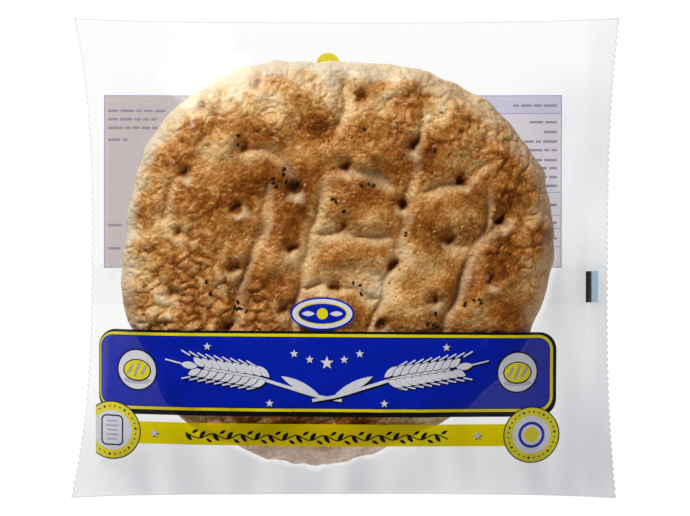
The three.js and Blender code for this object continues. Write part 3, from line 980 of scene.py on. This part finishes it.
def ink_material(name, colour, cover, passed="#FFFFFF"):
    """Glossy ink under film: its colour, with some of what lies behind it passed through."""
    material, tree = new_material(name)
    place = add(tree, "ShaderNodeTexCoord").outputs["Object"]
    # A dot pattern too fine to see makes the tone uneven by a few per cent.
    dots = clouds(tree, place, 700.0)
    darker = "#" + "".join(f"{int(int(colour[i : i + 2], 16) * 0.97):02X}" for i in (1, 3, 5))
    tone = ramp(tree, dots, [(0.4, darker), (0.6, colour)])
    ink = coating(tree, tone, 0.35, 0.1)
    clear = add(tree, "ShaderNodeBsdfTransparent", {"Color": linear(passed)})
    return finished(material, add(tree, "ShaderNodeMixShader", {0: cover, 1: clear, 2: ink}))


def clear_yellow_material():
    """Yellow ink without white behind it: it tints what lies below and glows faintly itself."""
    material, tree = new_material("clear_yellow_ink")
    tint = add(tree, "ShaderNodeBsdfTransparent", {"Color": linear("#FFEC00")})
    glow = coating(tree, linear("#DCC600"), 0.35, 0.1)
    return finished(material, add(tree, "ShaderNodeMixShader", {0: 0.72, 1: tint, 2: glow}))


front_inks = {
    "black": ink_material("black_ink", "#0D0B10", 0.99),
    "blue": ink_material("ultramarine_ink", "#001BA0", 0.975),
    "yellow": ink_material("yellow_ink", "#D8CB12", 0.97),
    "white": ink_material("white_ink", "#CFCED6", 0.95),
    "grey": ink_material("grey_ink", "#A9A8B6", 0.95),
    "sky": ink_material("light_blue_ink", "#9FC4DC", 0.85),
    "clear yellow": clear_yellow_material(),
}
PRINT_START = -154.6  # the end seal's fold hides the print beyond this


def drawn(outline):
    """A shape as it lies on the bag: cut at the fold, with the band's ends pulled up a little."""
    kept = []
    for (x0, y0), (x1, y1) in zip(outline, outline[1:] + outline[:1]):
        if x0 >= PRINT_START:
            kept.append((x0, y0))
        if (x0 - PRINT_START) * (x1 - PRINT_START) < 0:
            kept.append((PRINT_START, y0 + (y1 - y0) * (PRINT_START - x0) / (x1 - x0)))
    return [(x, y + (3.2 if x < 0 else 1.6) * (x / 150) ** 2) for x, y in kept]


BAND = (-152.5, -97.6, 130.0, -46.6)
BAND_CORNER = 11.0
STRIPE = (-132.0, -117.0, 102.0, -103.2)
BADGES = ((-144.2, -109.4, 18.1), (115.2, -110.2, 17.6))
EARS = ((-52, -73, -1), (30, -73, 1))  # x and y, and the side that the ear points to
LOAVES = ((-128.0, -71.0, 13.0), (106.0, -71.0, 13.0))
STARS = (  # x, y and radius
    (-31, -58.5, 2.6), (-21.5, -62, 2.6), (-11, -64, 4.2), (-0.5, -62, 2.6), (9, -58.5, 2.6),
    (-84, -55, 2.6), (62, -55, 2.6), (-46, -89, 2.6), (24, -89, 2.6),
)
EMBLEM = (-13.8, -34.0)
EMBLEM_RINGS = (  # ink, and half the width and the height
    ("blue", 19.5, 10.2), ("white", 18.3, 9.0), ("yellow", 15.6, 6.9), ("blue", 14.6, 6.1),
)
VINE_LEAVES, VINE_PITCH = 20, 8.5
BADGE_DOTS = 28

shapes = [("clear yellow", box(*STRIPE))]
x0, y0, x1, y1 = BAND
shapes.append(("black", rounded_box(x0, y0 - 1.4, x1 + 0.5, y1, BAND_CORNER)))  # thicker along its foot
for ink, edge in (("black", 0), ("yellow", 1.7), ("black", 3.5), ("blue", 3.9)):
    left = 0.35 * edge  # the left end runs down the fold, so its lines look narrow
    shapes.append((ink, rounded_box(x0 + left, y0 + edge, x1 - edge, y1 - edge, BAND_CORNER - edge)))
for ear in (wheat_ear(*place) for place in EARS):
    shapes += [("black", shifted(outline, 1.0, -1.1)) for part in ear for outline in part]
    stalk, bristles, grains = ear
    shapes += [("white", outline) for outline in stalk + bristles]
    for grain in grains:
        shapes += [("black", shifted(grain, 0.35, -0.45)), ("black", shifted(grain, -0.3, 0.3))]
        shapes.append(("white", grain))
for x, y, radius in STARS:
    shapes += [("black", star(x + 0.5, y - 0.6, radius)), ("white", star(x, y, radius))]

for x, y, radius in LOAVES:
    shapes += [("black", disc(x, y, radius)), ("white", disc(x, y, radius - 1.0))]
    shapes += [("grey", oval(x, y - 6.6, 8.8, 2.2)), ("black", oval(x, y - 0.3, 9.0, 6.9))]
    shapes += [("yellow", oval(x, y - 0.2, 8.2, 6.1))]
    for aside in (-4.4, 0.0, 4.4):
        reach = 4.4 - 0.3 * abs(aside)
        cut = ((x + aside - 1.8, y - reach), (x + aside, y), (x + aside + 1.8, y + reach))
        shapes += [("black", stroke(cut, 1.2)), ("white", stroke(cut, 0.5))]

x, y = EMBLEM
for ink, across, up in EMBLEM_RINGS:
    shapes.append((ink, oval(x, y, across, up)))
shapes.append(("yellow", disc(x, y, 3.4)))
shapes += [("white", leaf(x + side * 4.6, y, side * 8.0, side * 3.0, 0)) for side in (-1, 1)]

vine = [(-98 + VINE_PITCH * i, -110.2 + 1.6 * (-1) ** i) for i in range(VINE_LEAVES)]
shapes.append(("black", stroke(vine, 0.8)))
for i, (x, y) in enumerate(vine[:-1]):
    shapes.append(("black", leaf(x, y, 6.2, 2.6, 52 if i % 2 else -52)))
    shapes.append(("black", leaf(x + 4, y, 4.6, 1.9, -30 if i % 2 else 30)))
for x in (-117.5, 81.5):
    shapes += [("black", star(x + 0.5, -110.6, 2.9)), ("white", star(x, -110.0, 2.9))]

for number, (x, y, radius) in enumerate(BADGES):
    shapes += [("black", disc(x, y, radius)), ("yellow", disc(x, y, radius - 0.7))]
    for i in range(BADGE_DOTS):
        dot = from_point(x, y, radius - 3.2, 2 * math.pi * (i + 0.5) / BADGE_DOTS)
        shapes.append(("black", disc(*dot, 0.54 if i % 4 else 0.78, 8)))
    shapes.append(("white", disc(x, y, radius - 5.8)))
    if number == 0:
        shapes.append(("black", rounded_box(x - 7.0, y - 9.5, x + 7.0, y + 9.5, 3.2)))
        shapes.append(("white", rounded_box(x - 6.1, y - 8.6, x + 6.1, y + 8.6, 2.5)))
        for i in range(5):
            half = 4.2 if i % 2 else 3.2
            shapes.append(("grey", box(x - half, y + 5.0 - 2.8 * i, x + half, y + 6.3 - 2.8 * i)))
    else:
        shapes += [("blue", disc(x, y, 8.2)), ("white", disc(x, y, 6.4)), ("yellow", disc(x, y, 4.6))]
shapes += [("black", box(149.3, -29.2, 153.0, -9.8)), ("sky", box(153.0, -29.2, 157.0, -9.8))]
shapes = [(ink, drawn(outline)) for ink, outline in shapes]
layer_on("front_print", wall_of(front_z), shapes, -UNDER_FILM, front_inks)

back_inks = {
    "list panel": ink_material("pale_grey_ink", "#A89C9A", 0.32, "#D6CDCC"),
    "table panel": ink_material("pale_lilac_ink", "#B0AAB2", 0.22, "#E3DEE4"),
    "head": ink_material("lilac_ink", "#A8A4BA", 0.26, "#D6D3E2"),
    "rule": ink_material("slate_blue_ink", "#5A5FA8", 0.6, "#B4B6DC"),
    "bar": ink_material("mid_grey_ink", "#7A7783", 0.55, "#B6B3BE"),
    "yellow": front_inks["yellow"],
}
PANEL_TOP, PANEL_FOOT = 101.0, -6.0
# Rows of dashes: their height on the bag and how long they run in all.
PANEL_LINES = ((91.3, 36), (86.1, 30), (80.8, 37), (73.4, 12), (20.4, 11), (6.0, 9))
TABLE_RULES = (89.5, 40.6, 26.4, 18.2, 7.0)
TABLE_LINES = (
    (94.6, 27), (84.3, 17), (78.2, 9), (72.3, 25), (67.0, 21), (60.8, 24),
    (55.8, 16), (50.2, 17), (44.8, 11), (33.0, 8), (21.8, 9), (12.2, 10),
)
RULE_WIDTH = 0.45
shapes = [("yellow", disc(-10.5, 120.0, 7.4))]
for x0, x1, ink in ((-149.5, -8.0, "list panel"), (-6.0, 134.5, "table panel")):
    shapes.append(("rule", box(x0, PANEL_FOOT, x1, PANEL_TOP)))
    inside = (x0 + RULE_WIDTH, PANEL_FOOT + RULE_WIDTH, x1 - RULE_WIDTH, PANEL_TOP - RULE_WIDTH)
    shapes.append((ink, box(*inside)))
shapes.append(("head", box(-5.5, TABLE_RULES[0], 134.0, PANEL_TOP - RULE_WIDTH)))
for y in TABLE_RULES:
    shapes.append(("rule", box(-4.0, y, 133.6, y + 0.4)))
dashes = np.random.default_rng(9)
for lines, start, side in ((TABLE_LINES, 131.5, -1), (PANEL_LINES, -147.0, 1)):
    for y, length in lines:
        run = 0.0
        while run < length - 2:
            dash = min(3.0 + 6.0 * dashes.random(), length - run)
            near, far = start + side * run, start + side * (run + dash)
            shapes.append(("bar", box(min(near, far), y - 0.8, max(near, far), y + 0.8)))
            run += dash + 1.3
layer_on("back_print", wall_of(back_z), shapes, UNDER_FILM, back_inks)

fin_shape = [("film", box(-156.5, -29, 162.5, -4.5))]
fin = layer_on("fin_seal", wall_of(back_z), fin_shape, -0.18, {"film": clear_film})
for name in ("sealed", "painted_film_shade"):
    give(fin, name, np.zeros(len(fin.data.vertices)))


# ---- The studio ------------------------------------------------------------------------------
# A light table of frosted acrylic, which takes the shadow off a clear bag, and a soft light from
# above the pack's top left, seen from straight above.
FRAME_WIDTH_PX, SCALE = 690, 0.62  # millimetres to a pixel
CAMERA_HEIGHT = 1800.0
PRINT_PLANE = 5.0  # the height at which the picture has this scale
FLOOR_HALF = 1500.0

corners = box(-FLOOR_HALF, -FLOOR_HALF, FLOOR_HALF, FLOOR_HALF)
floor = new_mesh("floor", [(x, y, 0) for x, y in corners], [(0, 1, 2, 3)], smooth=False)
# Frosted acrylic lit from below: an even white with no gloss, so that nothing is mirrored in it.
acrylic, tree = new_material("frosted_white_acrylic")
glow = {"Emission Color": (1, 1, 1, 1), "Emission Strength": 0.94}
floor.data.materials.append(finished(acrylic, coating(tree, linear("#5C5C5C"), 0.9, 0.0, glow)))

camera = bpy.data.cameras.new("camera")
camera.sensor_width = 36.0
camera.lens = camera.sensor_width * (CAMERA_HEIGHT - PRINT_PLANE) / (FRAME_WIDTH_PX * SCALE)
camera_object = placed("camera", camera)
camera_object.location = (0, 0, CAMERA_HEIGHT * MM)
bpy.context.scene.camera = camera_object


def softbox(name, place, size, power, in_gloss=True):
    """A soft light aimed at the middle of the pack; metres and watts."""
    lamp = bpy.data.lights.new(name, "AREA")
    lamp.shape = "RECTANGLE"
    lamp.size, lamp.size_y = size
    lamp.energy = power
    holder = placed(name, lamp)
    holder.location = place
    holder.rotation_euler = (-Vector(place)).to_track_quat("-Z", "Y").to_euler()
    holder.visible_glossy = in_gloss


softbox("key", (-0.62, 1.15, 0.84), (0.75, 0.6), 40)
softbox("fill", (1.8, -1.7, 1.4), (2.4, 2.0), 45, in_gloss=False)
world = bpy.data.worlds.new("world")
world.use_nodes = True
world.node_tree.nodes["Background"].inputs["Color"].default_value = (1, 1, 1, 1)
world.node_tree.nodes["Background"].inputs["Strength"].default_value = 0.1
bpy.context.scene.world = world
bpy.context.scene.view_settings.view_transform = "Standard"
